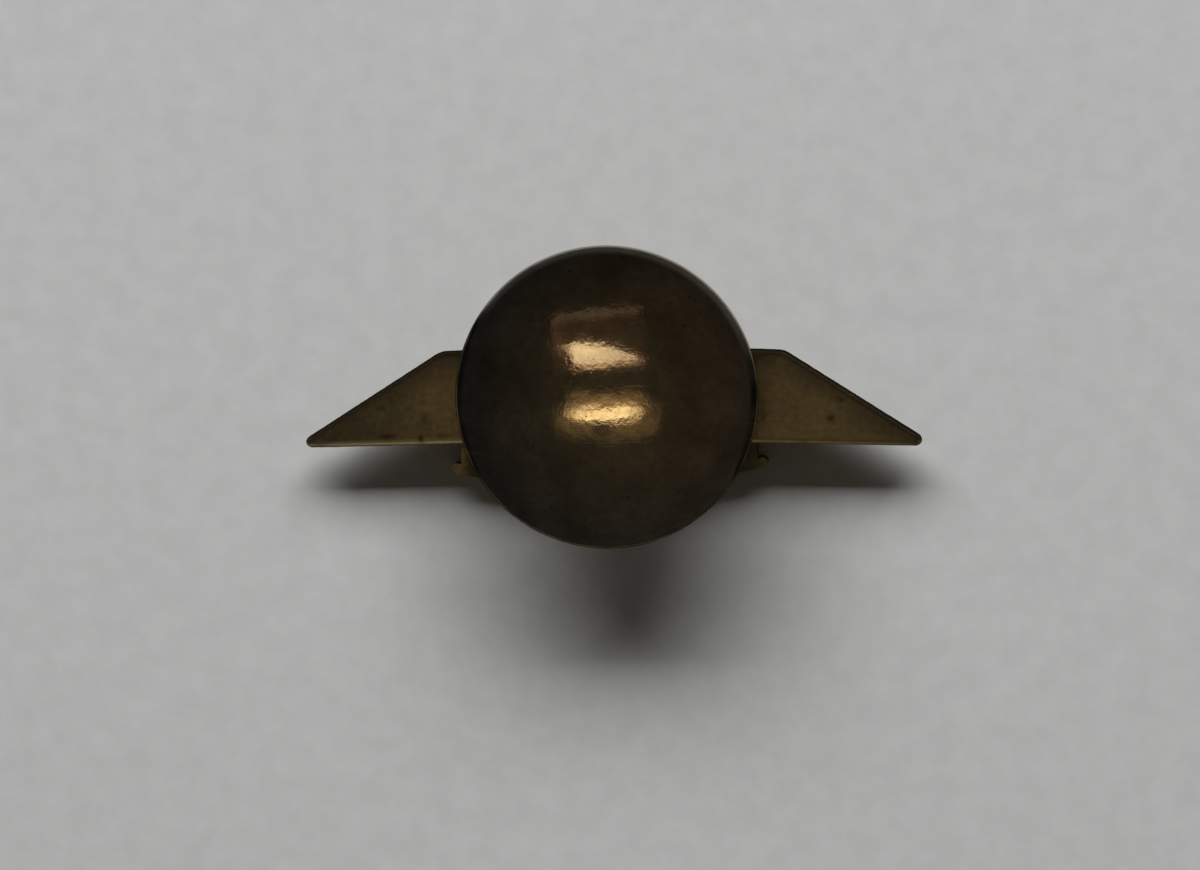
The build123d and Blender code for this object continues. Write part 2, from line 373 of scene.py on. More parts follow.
def wing_material(name, with_painted_shade):
    """Aged brown-gold brass of the struck badge, with a painted highlight along the bottom edges; the one
    with painted shade is for the scroll.
    """
    tree = MaterialTree(name)
    cloud = tree.cloud(300.0, detail=5.0)
    warmth = tree.noise(tree.stretched(tree.place, (1, 1, 1), (0.31, 0.17, 0.05)), 230.0, detail=3.0)
    grain = tree.cloud(3200.0, detail=5.0, roughness=0.65)
    spots = tree.pits(760.0, inner=0.04, outer=0.12)
    lines = tree.scratches(0.2, width=4300.0)

    base = tree.ramp(cloud, *WING_TONES)
    base = tree.mix(tree.times(tree.mask(warmth, 0.40, 0.66), 0.60), base, WING_RED)
    base = tree.mix(tree.times(tree.mask(grain, 0.42, 0.72), 0.30), base, WING_DARK_GRAIN)
    base = tree.mix(tree.attribute("warm"), base, WING_WARM)
    base = tree.mix(tree.times(tree.attribute("band"), 0.82), base, WING_BAND)
    # Darker along the top and sloping edges, far more on the back than on the front
    base = tree.mix(tree.attribute("dark_edge"), base, WING_DARK_EDGE)
    # Painted highlight along the bottom edges, strongest on the left wing
    base = tree.mix(tree.attribute("strip"), base, WING_STRIP_HIGHLIGHT)
    base = tree.mix(tree.attribute("stain"), base, WING_STAIN)
    if with_painted_shade:
        # Painted shade where the dome and the wings shade the scroll
        base = tree.mix(painted_shade_mask(tree, cloud), base, SCROLL_SHADE)
    base = tree.mix(tree.times(spots, 0.60), base, WING_SPOT)
    base = tree.mix(tree.times(lines, 0.20), base, WING_SCRATCH)

    rough = tree.straight(grain, 0.30, 0.26)
    normal = tree.bump(cloud, distance=0.00020, strength=0.4)
    normal = tree.bump(grain, distance=0.00002, strength=0.45, after=normal)
    normal = tree.dent(spots, distance=0.00003, strength=0.4, after=normal)
    return tree.finish(base, rough, normal, edge_tint=TONED_EDGE_TINT)


def turned_material(name, dark, light, roughness, marks_per_metre):
    """Turned or rolled brass with fine tool marks round the axis."""
    tree = MaterialTree(name)
    cloud = tree.cloud(500.0)
    marks = tree.noise(tree.stretched(tree.place, (200.0, 200.0, marks_per_metre)), 1.0)
    tarnish = tree.cloud(2200.0, detail=4.0, roughness=0.65)
    pits = tree.pits(1900.0, inner=0.04, outer=0.10)

    base = tree.ramp(cloud, (0.32, dark), (0.68, light))
    base = tree.mix(tree.times(tree.mask(tarnish, 0.46, 0.70), 0.55), base, TURNED_STAIN)
    base = tree.mix(tree.times(pits, 0.8), base, TURNED_PIT)

    rough = tree.straight(tarnish, 0.25, roughness)
    normal = tree.bump(marks, distance=0.00001, strength=0.5)
    normal = tree.bump(tarnish, distance=0.00001, strength=0.4, after=normal)
    normal = tree.dent(pits, distance=0.00003, strength=0.5, after=normal)
    return tree.finish(base, rough, normal)


def solder_material():
    """Dull grey soft solder with a wrinkled, oxidised skin."""
    tree = MaterialTree("soft_solder")
    skin = tree.cloud(1800.0, detail=5.0, distortion=0.6)
    pits = tree.pits(2600.0, inner=0.05, outer=0.14)
    base = tree.ramp(skin, (0.35, SOLDER_DARK), (0.68, SOLDER_LIGHT))
    base = tree.mix(tree.times(pits, 0.8), base, SOLDER_PIT)
    rough = tree.straight(skin, 0.30, 0.32)
    normal = tree.bump(skin, distance=0.00004, strength=0.7)
    normal = tree.dent(pits, distance=0.00003, strength=0.6, after=normal)
    return tree.finish(base, rough, normal, metallic=0.9)


def floor_material():
    """Plain pale matt floor with a faint grain."""
    tree = MaterialTree("pale_floor")
    grain = tree.cloud(700.0)
    base = tree.ramp(grain, (0.35, FLOOR_DARK), (0.65, FLOOR_LIGHT))
    rough = tree.straight(grain, 0.1, 0.75)
    return tree.finish(base, rough, tree.bump(grain, distance=0.00002, strength=0.3), metallic=0.0)


# ------------------------------------------------------------------ nut cap mesh

DOME_RISE = 2.6 * MM
BEAD_RADIUS = 0.3 * MM
SHEET = 0.4 * MM
LIP_RADIUS = 5.55 * MM
LIP_BEVEL = 0.1 * MM
RIM_RADIUS = CAP_RADIUS - 0.004 * MM

# The rounded edge starts at the dome's own slope and ends upright; leave and arrive set its fullness
EDGE_WIDTH = 0.45 * MM
EDGE_LEAVE = 0.18 * MM
EDGE_ARRIVE = 0.14 * MM

CAP_TURNS = 288
DOME_STEPS = 96
DOME_CROWDING = 0.9
EDGE_STEPS = 20
BEAD_STEPS = 12
INNER_STEPS = 25
INNER_DULLNESS = 0.3

# The rim is worn bright and carries a painted highlight where it faces this way, towards the light; elsewhere
# it is darkened with painted shade, soonest on the two flanks along X
RIM_WEAR_AND_LIGHT_DIRECTION = radians(78.0)
RIM_WEAR_AND_LIGHT_FROM, RIM_WEAR_AND_LIGHT_FULL = 0.55, 0.90
RIM_UNEVENNESS, RIM_NOISE_RADIUS, RIM_NOISE_SLICE = 0.15, 4, 4
FLANK_FROM, FLANK_FULL = 0.80, 0.97
BRIGHT_TO = 0.45
BRIGHT_SHADE = 0.2
# Painted shade on the rim: where along the edge it starts and is full; the last pair also scales the dullness
# inside
RIM_SHADE_FROM, RIM_SHADE_FULL = 0.45, 0.80
RIM_SHADE_SOONER_ON_FLANK = 0.50
DULL_AND_SHADE_MEAN, DULL_AND_SHADE_NOISE = 0.90, 0.7
SHADE_SCALE = 900.0

bead_centre_height = CAP_BOTTOM + BEAD_RADIUS
dome_edge_radius = CAP_RADIUS - BEAD_RADIUS
dome_radius = (dome_edge_radius**2 + DOME_RISE**2) / (2 * DOME_RISE)
dome_centre = CAP_TOP - dome_radius


def curve_point(start, leave, arrive, end, t):
    """A point on the cubic curve from start to end, pulled by leave and arrive."""
    weights = ((1 - t) ** 3, 3 * t * (1 - t) ** 2, 3 * t**2 * (1 - t), t**3)
    corners = (start, leave, arrive, end)
    return tuple(sum(weight * corner[axis] for weight, corner in zip(weights, corners)) for axis in (0, 1))


def cap_profile():
    """Half section of the cap as (radius, height, rim, groove), from the crown over the rim to the inside."""
    face_radius = CAP_RADIUS - EDGE_WIDTH
    face_height = dome_centre + sqrt(dome_radius**2 - face_radius**2)
    face_slope = face_radius / sqrt(dome_radius**2 - face_radius**2)
    points = []
    for step in range(1, DOME_STEPS + 1):
        radius = face_radius * (step / DOME_STEPS) ** DOME_CROWDING
        points.append((radius, dome_centre + sqrt(dome_radius**2 - radius**2), 0.0, 0.0))
    start = (face_radius, face_height)
    leave = (face_radius + EDGE_LEAVE, face_height - EDGE_LEAVE * face_slope)
    arrive = (RIM_RADIUS, bead_centre_height + EDGE_ARRIVE)
    end = (RIM_RADIUS, bead_centre_height)
    for step in range(1, EDGE_STEPS + 1):
        t = step / EDGE_STEPS
        radius, height = curve_point(start, leave, arrive, end, t)
        points.append((radius, height, t, 0.0))
    for step in range(1, BEAD_STEPS + 1):
        angle = radians(90.0 * step / BEAD_STEPS)
        radius = RIM_RADIUS - BEAD_RADIUS * (1.0 - cos(angle))
        points.append((radius, bead_centre_height - BEAD_RADIUS * sin(angle), 1.0, 0.0))
    points.append((LIP_RADIUS + LIP_BEVEL, CAP_BOTTOM, 0.5, 0.0))
    points.append((LIP_RADIUS, CAP_BOTTOM + LIP_BEVEL, 0.5, 0.0))
    points.append((LIP_RADIUS, CAP_BOTTOM + SHEET, 0.3, 0.2))
    inner_radius = dome_radius - SHEET
    inner_edge = sqrt(inner_radius**2 - (CAP_BOTTOM + SHEET - dome_centre) ** 2)
    for step in range(INNER_STEPS):
        radius = inner_edge * (1.0 - step / INNER_STEPS)
        points.append((radius, dome_centre + sqrt(inner_radius**2 - radius**2), 0.0, INNER_DULLNESS))
    return points


def rim_light_and_shade(angle, shade, rim_value, groove_value):
    """How worn and lit (painted highlight) and how dull and shaded (painted shade) the cap is at a place;
    shade is a noise value there.
    """
    facing_wear_and_light = 0.5 + 0.5 * cos(angle - RIM_WEAR_AND_LIGHT_DIRECTION)
    round_rim = Vector((cos(angle) * RIM_NOISE_RADIUS, sin(angle) * RIM_NOISE_RADIUS, RIM_NOISE_SLICE))
    wear = smoothstep(RIM_WEAR_AND_LIGHT_FROM, RIM_WEAR_AND_LIGHT_FULL, facing_wear_and_light + RIM_UNEVENNESS * noise.noise(round_rim))
    # Wear and a painted highlight where the rim faces the light
    worn_and_lit = smoothstep(0.0, BRIGHT_TO, rim_value) * limited(wear + BRIGHT_SHADE * shade)
    flank = smoothstep(FLANK_FROM, FLANK_FULL, abs(cos(angle)))
    shade_from = RIM_SHADE_FROM * (1.0 - flank)
    shade_full = RIM_SHADE_FULL - RIM_SHADE_SOONER_ON_FLANK * flank
    # Painted shade where the rim faces away from the light
    rim_shade = smoothstep(shade_from, shade_full, rim_value) * (1.0 - wear)
    return worn_and_lit, limited((groove_value + rim_shade) * (DULL_AND_SHADE_MEAN + DULL_AND_SHADE_NOISE * shade))


def build_cap():
    """Closed cap, turned from its half section."""
    profile = cap_profile()
    points = [(0.0, 0.0, CAP_TOP)]
    rim = [0.0]
    groove = [0.0]
    for radius, height, rim_value, groove_value in profile:
        for turn in range(CAP_TURNS):
            angle = 2 * pi * turn / CAP_TURNS
            x = radius * cos(angle)
            y = radius * sin(angle)
            shade = noise.noise(Vector((x, y, height)) * SHADE_SCALE)
            worn_and_lit, dull_and_shade = rim_light_and_shade(angle, shade, rim_value, groove_value)
            points.append((x, y, height))
            rim.append(worn_and_lit)
            groove.append(dull_and_shade)
    inside = len(points)
    points.append((0.0, 0.0, dome_centre + dome_radius - SHEET))
    rim.append(0.0)
    groove.append(INNER_DULLNESS)
    faces = []
    for turn in range(CAP_TURNS):
        faces.append((0, 1 + turn, 1 + (turn + 1) % CAP_TURNS))
    for ring in range(len(profile) - 1):
        start = 1 + ring * CAP_TURNS
        for turn in range(CAP_TURNS):
            after = (turn + 1) % CAP_TURNS
            faces.append((start + turn, start + CAP_TURNS + turn, start + CAP_TURNS + after, start + after))
    last = 1 + (len(profile) - 1) * CAP_TURNS
    for turn in range(CAP_TURNS):
        faces.append((last + turn, inside, last + (turn + 1) % CAP_TURNS))
    cap = add_mesh("nut_cap_skin", points, faces)
    # rim holds the wear and painted highlight; groove holds the dullness and painted shade
    add_attributes(cap, {"rim": rim, "groove": groove})
    return cap


# ------------------------------------------------------------------ wings plate mesh

# Lengths in this section are in mm.

# Outline of one wing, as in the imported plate: top edge, sloping edge, cut tip and bottom edge
CENTRE_TOP = (0.0, 2.4)
SHOULDER = (8.65, 2.08)
TIP_TOP = (PLATE_TIP_X / MM, -2.33)
TIP_BOTTOM = (PLATE_TIP_X / MM - 0.15, -2.78)
CENTRE_BOTTOM = (0.0, -2.45)
CORNER_SOFTNESS = 0.16
BACK_ROUND = 0.30
FRONT_ROUND = 0.14

# Spacing of the grid: columns along the wing, and rows that crowd towards the two edges. Where the plate
# is lower than FULL_HEIGHT, the rows at the edges draw closer.
PLATE_STEP = 0.09
TIP_COLUMNS = (0.045, 0.015, 0.003)
EDGE_ROWS = (0.0, 0.012, 0.035, 0.07, 0.12, 0.18, 0.25, 0.34)
MIDDLE_ROWS = 58
FULL_HEIGHT = 1.2

# The search for the outline: heights clear of the plate, halvings, and heights to try in the narrow tip
ABOVE_PLATE = 3.0
BELOW_PLATE = -3.2
OUTLINE_HALVINGS = 40
TIP_SEARCH_STEP = 0.002
TIP_GUIDES = tuple(TIP_BOTTOM[1] + 0.02 * i for i in range(25))

# Grooves between the feathers of the front
FEATHER_PITCH = 0.8
FIRST_FEATHER = -1.75
FEATHER_ROWS = 5
FEATHER_DEPTH = 0.24
FEATHER_GROOVE = 0.085
FEATHER_START = 4.4
FEATHER_END_MARGIN = 1.3
FEATHER_FADE = 0.25

# Slow and fine noise over the plate: features per mm, slice of the noise, and depth of its unevenness
WOBBLE_SCALE, WOBBLE_SLICE, WOBBLE_DEPTH = 0.9, 3.0, 0.030
FINE_SCALE, FINE_SLICE, FINE_DEPTH = 3.1, 9.0, 0.008
UNEVEN_BEYOND = (2.6, 4.0)
FRONT_UNEVEN_BEYOND = (4.6, 6.0)
FRONT_SINK_SHARE = 0.4

# The outline's wear: features per mm, slice of the noise, depth, and how far inwards it reaches
WEAR_SCALE, WEAR_SLICE, WEAR_DEPTH, WEAR_REACH = 2.3, 15.0, 0.012, 0.30

# Where the plate's tones begin and end, the painted highlight along the bottom edge among them. Upper is
# the distance from the top edge or sloping edge, and lower is the distance from the bottom edge.
SHADE_FROM_UPPER, SHADE_TO_UPPER, SHADE_WOBBLE = 0.05, 1.60, 0.60
LEFT_TIP_SHADE, LEFT_TIP_SHADE_X = 0.95, (8.0, 14.4)
RIGHT_TIP_SHADE_X = (13.6, 15.2)
TIP_SHADE_FINE = 0.2
# Darker line along the top and sloping edges: its width, and its strength on the front and on the back
DARK_EDGE_UPPER = (0.02, 0.24)
DARK_EDGE_ON_FRONT, DARK_EDGE_ON_BACK = 0.20, 0.92
WARM_X, WARM_FADE_X = (2.0, 6.0), (7.0, 12.0)
WARM, WARM_FADE, WARM_WOBBLE = 0.62, 0.30, 0.25
# Painted highlight along the bottom edge: where it rises and falls across it, its fade at the left tip, and
# its strength
HIGHLIGHT_IN_LOWER, HIGHLIGHT_OUT_LOWER = (0.04, 0.12), (0.20, 0.38)
HIGHLIGHT_LEFT_TIP_FADE, HIGHLIGHT_LEFT_TIP_X = 0.6, (13.5, 15.0)
STRIP_LEAST, STRIP_LEFT, STRIP_LEFT_X = 0.04, 0.68, (4.5, 9.0)

# Dark stains on the back: place, half width, half height and strength; their edges are a little ragged
STAIN_RAGGEDNESS = 0.5
STAINS = (
    (-11.75, -0.75, 0.34, 0.16, 0.55),
    (-11.35, -2.20, 0.42, 0.15, 0.90),
    (-9.65, -2.30, 0.13, 0.26, 0.95),
    (-9.45, -1.35, 0.16, 0.28, 0.55),
    (-8.55, -2.15, 0.40, 0.14, 0.50),
    (-12.9, -1.35, 0.20, 0.12, 0.40),
    (10.95, -1.35, 0.20, 0.19, 0.95),
    (11.35, -0.35, 0.24, 0.16, 0.35),
    (9.60, -2.50, 0.30, 0.09, 0.40),
)


def edge_distance(start, end, x, y):
    """Distance from the line through two outline points, positive on its right-hand side."""
    along_x = end[0] - start[0]
    along_y = end[1] - start[1]
    return ((x - start[0]) * along_y - (y - start[1]) * along_x) / hypot(along_x, along_y)


def soft_min(a, b, softness):
    """The smaller of two values, with their crossing rounded off."""
    h = max(softness - abs(a - b), 0.0) / softness
    return min(a, b) - h * h * softness * 0.25


def inside_depth(x, y):
    """How far a point lies inside the plate's outline, with rounded corners."""
    x = abs(x)
    top = edge_distance(CENTRE_TOP, SHOULDER, x, y)
    slope = edge_distance(SHOULDER, TIP_TOP, x, y)
    cut = edge_distance(TIP_TOP, TIP_BOTTOM, x, y)
    bottom = edge_distance(TIP_BOTTOM, CENTRE_BOTTOM, x, y)
    depth = soft_min(top, slope, CORNER_SOFTNESS)
    depth = soft_min(depth, cut, 2 * CORNER_SOFTNESS)
    return soft_min(depth, bottom, 2 * CORNER_SOFTNESS)


def outline_y(x, start, inward):
    """Walks from start towards the plate at x until it meets the outline."""
    outside = start
    inside = start + inward
    for _ in range(OUTLINE_HALVINGS):
        middle = (outside + inside) / 2
        if inside_depth(x, middle) > 0.0:
            inside = middle
        else:
            outside = middle
    return (outside + inside) / 2


def plate_half_length():
    """How far the rounded tip reaches along x."""
    half_length = TIP_TOP[0]
    while max(inside_depth(half_length, y) for y in TIP_GUIDES) <= 0.0:
        half_length -= TIP_SEARCH_STEP
    return half_length


def plate_columns(half_length):
    """The x of each column of the grid, from tip to tip."""
    count = int(half_length / PLATE_STEP)
    right = [half_length * (i / count) for i in range(count)]
    right += [half_length - margin for margin in TIP_COLUMNS]
    return [-x for x in reversed(right[1:])] + right


def plate_rows(x, half_length):
    """The y of each grid point of the column at x, from the bottom edge to the top edge."""
    centre_y = (TIP_TOP[1] + TIP_BOTTOM[1]) / 2
    guide = centre_y * min(1.0, abs(x) / half_length)
    if inside_depth(x, guide) <= 0.0:
        guide = max((guide, *TIP_GUIDES), key=lambda y: inside_depth(x, y))
    top = outline_y(x, ABOVE_PLATE, guide - ABOVE_PLATE)
    bottom = outline_y(x, BELOW_PLATE, guide - BELOW_PLATE)
    shrink = min(1.0, (top - bottom) / FULL_HEIGHT)
    edge_height = EDGE_ROWS[-1] * shrink
    middle_height = top - bottom - 2 * edge_height
    ys = [bottom + offset * shrink for offset in EDGE_ROWS]
    ys += [bottom + edge_height + middle_height * (i + 1) / (MIDDLE_ROWS + 1) for i in range(MIDDLE_ROWS)]
    return ys + [top - offset * shrink for offset in reversed(EDGE_ROWS)]


def rounding(depth, radius):
    """Drop of a rounded edge of that radius at a depth inside the outline."""
    if depth >= radius:
        return 0.0
    return radius - sqrt(max(radius**2 - (radius - max(depth, 0.0)) ** 2, 0.0))


def feather_relief(x, y):
    """Height cut away from the front between and along the feathers."""
    across = (y - FIRST_FEATHER) / FEATHER_PITCH
    row = min(FEATHER_ROWS - 1, max(0, round(across)))
    groove_y = FIRST_FEATHER + row * FEATHER_PITCH
    reach = SHOULDER[0] + (SHOULDER[1] - groove_y) * (TIP_TOP[0] - SHOULDER[0]) / (SHOULDER[1] - TIP_TOP[1])
    end = reach - FEATHER_END_MARGIN
    ends = smoothstep(FEATHER_START, FEATHER_START + FEATHER_FADE, abs(x))
    ends *= 1.0 - smoothstep(end - FEATHER_FADE, end, abs(x))
    groove = FEATHER_DEPTH * exp(-(((y - groove_y) / FEATHER_GROOVE) ** 2))
    return groove * ends


def unevenness(x, wobble, fine):
    """How far the struck surface sinks at a place; it is flat in the middle, where the stud stands."""
    sink = WOBBLE_DEPTH * (0.5 + 0.5 * wobble) + FINE_DEPTH * (0.5 + 0.5 * fine)
    return sink * smoothstep(*UNEVEN_BEYOND, abs(x))


def plate_height(x, y, front, sink):
    """Height of the front or the back at a place, with its rounded edges and its unevenness."""
    depth = inside_depth(x, y)
    if front:
        height = PLATE_FRONT / MM + rounding(depth, FRONT_ROUND) + feather_relief(x, y)
        return height + FRONT_SINK_SHARE * sink * smoothstep(*FRONT_UNEVEN_BEYOND, abs(x))
    return PLATE_BACK / MM - rounding(depth, BACK_ROUND) - sink


def outline_wear(x, y):
    """How far the outline is worn inwards at a place, fading out towards the middle of the plate."""
    worn = WEAR_DEPTH * noise.noise(Vector((x * WEAR_SCALE, y * WEAR_SCALE, WEAR_SLICE))) + WEAR_DEPTH
    return worn * (1.0 - smoothstep(0.0, WEAR_REACH, inside_depth(x, y)))


def plate_tones(x, y, front, wobble, fine):
    """The values that the struck brass reads at a place, the painted highlight along the bottom edge among
    them.
    """
    upper = edge_distance(SHOULDER, TIP_TOP, abs(x), y)
    upper = min(upper, edge_distance(CENTRE_TOP, SHOULDER, abs(x), y))
    lower = edge_distance(TIP_BOTTOM, CENTRE_BOTTOM, abs(x), y)
    slope_shade = 1.0 - smoothstep(SHADE_FROM_UPPER, SHADE_TO_UPPER + SHADE_WOBBLE * wobble, upper)
    tip_shade = LEFT_TIP_SHADE * smoothstep(*LEFT_TIP_SHADE_X, -x) + smoothstep(*RIGHT_TIP_SHADE_X, x)
    warm = WARM - WARM_FADE * smoothstep(*WARM_FADE_X, x) + WARM_WOBBLE * wobble
    # Painted highlight along the bottom edge
    lower_highlight = (1.0 - smoothstep(*HIGHLIGHT_OUT_LOWER, lower)) * smoothstep(*HIGHLIGHT_IN_LOWER, lower)
    lower_highlight *= 1.0 - HIGHLIGHT_LEFT_TIP_FADE * smoothstep(*HIGHLIGHT_LEFT_TIP_X, -x)
    stain = 0.0
    if not front:
        for place_x, place_y, half_x, half_y, strength in STAINS:
            reach = ((x - place_x) / half_x) ** 2 + ((y - place_y) / half_y) ** 2
            stain = max(stain, strength * exp(-reach * (1.0 + STAIN_RAGGEDNESS * fine)))
    return {
        "band": limited(max(slope_shade, tip_shade + TIP_SHADE_FINE * fine)),
        "dark_edge": (DARK_EDGE_ON_FRONT if front else DARK_EDGE_ON_BACK) * (1.0 - smoothstep(*DARK_EDGE_UPPER, upper)),
        "warm": smoothstep(*WARM_X, x) * warm,
        "strip": lower_highlight * (STRIP_LEAST + STRIP_LEFT * smoothstep(*STRIP_LEFT_X, -x)),
        "stain": stain,
    }


def build_plate():
    """Closed plate: a grid of columns along the wings and rows across them, on the back and on the front."""
    half_length = plate_half_length()
    xs = plate_columns(half_length)
    columns = [plate_rows(x, half_length) for x in xs]
    rows = len(columns[0])
    points = []
    tones = {"band": [], "dark_edge": [], "warm": [], "strip": [], "stain": []}
    for front in (False, True):
        for x, ys in zip(xs, columns):
            for y in ys:
                wobble = noise.noise(Vector((x * WOBBLE_SCALE, y * WOBBLE_SCALE, WOBBLE_SLICE)))
                fine = noise.noise(Vector((x * FINE_SCALE, y * FINE_SCALE, FINE_SLICE)))
                height = plate_height(x, y, front, unevenness(x, wobble, fine))
                wear = outline_wear(x, y)
                push = wear if y < ys[rows // 2] else -wear
                points.append((x * MM, (y + push) * MM, height * MM))
                for name, value in plate_tones(x, y, front, wobble, fine).items():
                    tones[name].append(value)
    half = len(points) // 2
    faces = []
    for column in range(len(xs) - 1):
        for row in range(rows - 1):
            a = column * rows + row
            b = a + rows
            faces.append((a, b, b + 1, a + 1))
            faces.append((half + a, half + a + 1, half + b + 1, half + b))
    rim = [column * rows for column in range(len(xs))]
    rim += [(len(xs) - 1) * rows + row for row in range(1, rows)]
    rim += [column * rows + rows - 1 for column in range(len(xs) - 2, -1, -1)]
    rim += [row for row in range(rows - 2, 0, -1)]
    for here, after in zip(rim, rim[1:] + rim[:1]):
        faces.append((here, half + here, half + after, after))
    plate = add_mesh("wings_plate_skin", points, faces)
    add_attributes(plate, tones)
    return plate


# ------------------------------------------------------------- materials and skins in place

cap_brass = cap_material()
wing_brass = wing_material("struck_aged_brass", with_painted_shade=False)
scroll_brass = wing_material("struck_shaded_brass", with_painted_shade=True)
screw_brass = turned_material(
    "turned_brass", dark=(0.20, 0.14, 0.06), light=(0.42, 0.31, 0.14), roughness=0.20, marks_per_metre=9000.0
)
disc_brass = turned_material(
    "rolled_brass", dark=(0.16, 0.11, 0.05), light=(0.33, 0.24, 0.11), roughness=0.26, marks_per_metre=600.0
)
solder = solder_material()

node_materials = {
    "wings_plate": wing_brass,
    "centre_roundel": wing_brass,
    "scroll": scroll_brass,
    "stud_flange": screw_brass,
    "threaded_stud": screw_brass,
    "spur_left": screw_brass,
    "spur_right": screw_brass,
    "nut_bush": screw_brass,
    "bush_solder": solder,
    "stud_solder": solder,
    "pressure_disc": disc_brass,
}
for node_name, material in node_materials.items():
    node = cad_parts[node_name]
    node.data.materials.clear()
    node.data.materials.append(material)

cap = build_cap()
cap.data.materials.append(cap_brass)
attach(cap, "nut")
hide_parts("nut_cap")

plate = build_plate()
plate.data.materials.append(wing_brass)
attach(plate, "badge")
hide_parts("wings_plate")


# -------------------------------------------------------------------------- floor

FLOOR_HALF = 0.4
floor_corners = [(-FLOOR_HALF, -FLOOR_HALF, 0), (FLOOR_HALF, -FLOOR_HALF, 0)]
floor_corners += [(FLOOR_HALF, FLOOR_HALF, 0), (-FLOOR_HALF, FLOOR_HALF, 0)]
floor = add_mesh("floor", floor_corners, [(0, 1, 2, 3)], smooth=False)
floor.data.materials.append(floor_material())
floor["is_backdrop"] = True


# ------------------------------------------------------------------------- lights

# Places and sizes are in metres, angles in degrees and powers in watts.
KEY_DISTANCE = 0.80
KEY_ZENITH = 58.5
KEY_AZIMUTH = -4.0
KEY_SIZE = (1.05, 0.29)
KEY_POWER = 10.4
KEY_COLOUR = (0.99, 1.0, 1.0)

SHEEN_PLACE = (0.0, -0.018, 0.25)
SHEEN_OUTWARD = (0.0, -0.07, 1.0)
SHEEN_SIZE = (0.13, 0.09)
SHEEN_POWER = 0.0085
SHEEN_COLOUR = (1.0, 0.93, 0.82)

SIDE_DISTANCE = 0.50
SIDE_ZENITH = 69.0
SIDE_SIZE = (0.42, 0.24)
SIDE_COLOUR = (1.0, 0.95, 0.86)
SIDE_POWER_AT_AZIMUTH = {205: 0.13, 25: 0.11, 115: 0.11, 295: 0.11}

UPPER_PANE_PLACE = (-0.030, 0.126, 0.214)
UPPER_PANE_OUTWARD = (-0.09, 0.396, 0.914)
UPPER_PANE_SIZE = (0.222, 0.168)
UPPER_PANE_POWER = 0.36
UPPER_PANE_ROLL = radians(1.7)
LOWER_PANE_PLACE = (-0.011, -0.049, 0.247)
LOWER_PANE_OUTWARD = (-0.018, -0.096, 0.995)
LOWER_PANE_SIZE = (0.262, 0.150)
LOWER_PANE_POWER = 0.50
WHITE = (1.0, 1.0, 1.0)


def light_matrix(location, outward, roll):
    """A light at location that shines against outward, with its local X kept near world +X."""
    away = Vector(outward).normalized()
    across = Vector((1, 0, 0)) - away * away.x
    across.normalize()
    turn = Matrix((across, away.cross(across), away)).transposed().to_4x4()
    return Matrix.Translation(location) @ turn @ Matrix.Rotation(roll, 4, "Z")


def area_light(name, location, outward, size, power, colour, roll=0.0):
    """A rectangular light that the camera doesn't see."""
    data = bpy.data.lights.new(name, "AREA")
    data.shape = "RECTANGLE"
    data.size, data.size_y = size
    data.energy = power
    data.color = colour
    light = bpy.data.objects.new(name, data)
    light.matrix_world = light_matrix(location, outward, roll)
    light.visible_camera = False
    scene.collection.objects.link(light)
    return light


def only_mirrored(light, receivers):
    """The light is mirrored by the pieces of one collection, and does nothing else."""
    light.visible_diffuse = False
    light.light_linking.receiver_collection = receivers


def spherical(distance, zenith, azimuth):
    """A point at a distance from the origin; azimuth 0 is towards +Y and 90 towards +X."""
    reach = distance * sin(radians(zenith))
    return (reach * sin(radians(azimuth)), reach * cos(radians(azimuth)), distance * cos(radians(zenith)))


class LightTree(NodeTree):
    """The node tree of a light; u and v run across the light from 0 to 1."""

    def __init__(self, light):
        light.data.use_nodes = True
        super().__init__(light.data.node_tree)
        self.emission = next(node for node in self.nodes if node.type == "EMISSION")
        self.parametric = self.nodes.new("ShaderNodeNewGeometry").outputs["Parametric"]
        self.u, self.v, _ = self.split(self.parametric)

    def excess(self, a, b):
        """How far a is above b, or 0."""
        return self.math("MAXIMUM", self.math("SUBTRACT", a, b), 0.0)

    def window(self, value, low, high, soft):
        """1 between low and high, with soft ends."""
        past_high = self.rise(value, high - soft, high)
        return self.times(self.rise(value, low, low + soft), self.math("SUBTRACT", 1.0, past_high))

    def patch(self, across, up):
        """1 inside a soft rectangle; across and up are its windows in u and v."""
        return self.times(self.window(self.u, *across), self.window(self.v, *up))

    def shine(self, strength, brightness, dim_colour, bright_colour):
        """Emits strength; where brightness is 1 in the bright colour, and elsewhere in the dim one."""
        self.feed(self.emission.inputs["Color"], self.mix(brightness, dim_colour, bright_colour))
        self.feed(self.emission.inputs["Strength"], strength)


# What the panes show. A window is (low, high, soft), in u or in v.
PANE_LEAN = -0.06

# The wedge: its top is level and then falls away to the right, and its foot rises at both ends
WEDGE_LEFT_FROM, WEDGE_LEFT_TO = 0.09, 0.23
WEDGE_TOP = 0.415
WEDGE_TOP_SOFT = 0.045
WEDGE_FALL_FROM_U, WEDGE_FALL_POWER, WEDGE_FALL = 0.40, 1.2, -0.48
WEDGE_FOOT = 0.045
WEDGE_FOOT_FROM, WEDGE_FOOT_TO = -0.05, 0.12
WEDGE_FOOT_LEFT_OF_U, WEDGE_FOOT_LEFT_RISE = 0.27, 2.1
WEDGE_FOOT_RIGHT_OF_U, WEDGE_FOOT_RIGHT_RISE = 0.5, 0.15
WEDGE_STREAK_SCALE = 9.0
WEDGE_STREAK_STRETCH = (2.4, 0.7, 1.0)
WEDGE_STREAK, WEDGE_LEAST = 0.9, 0.48

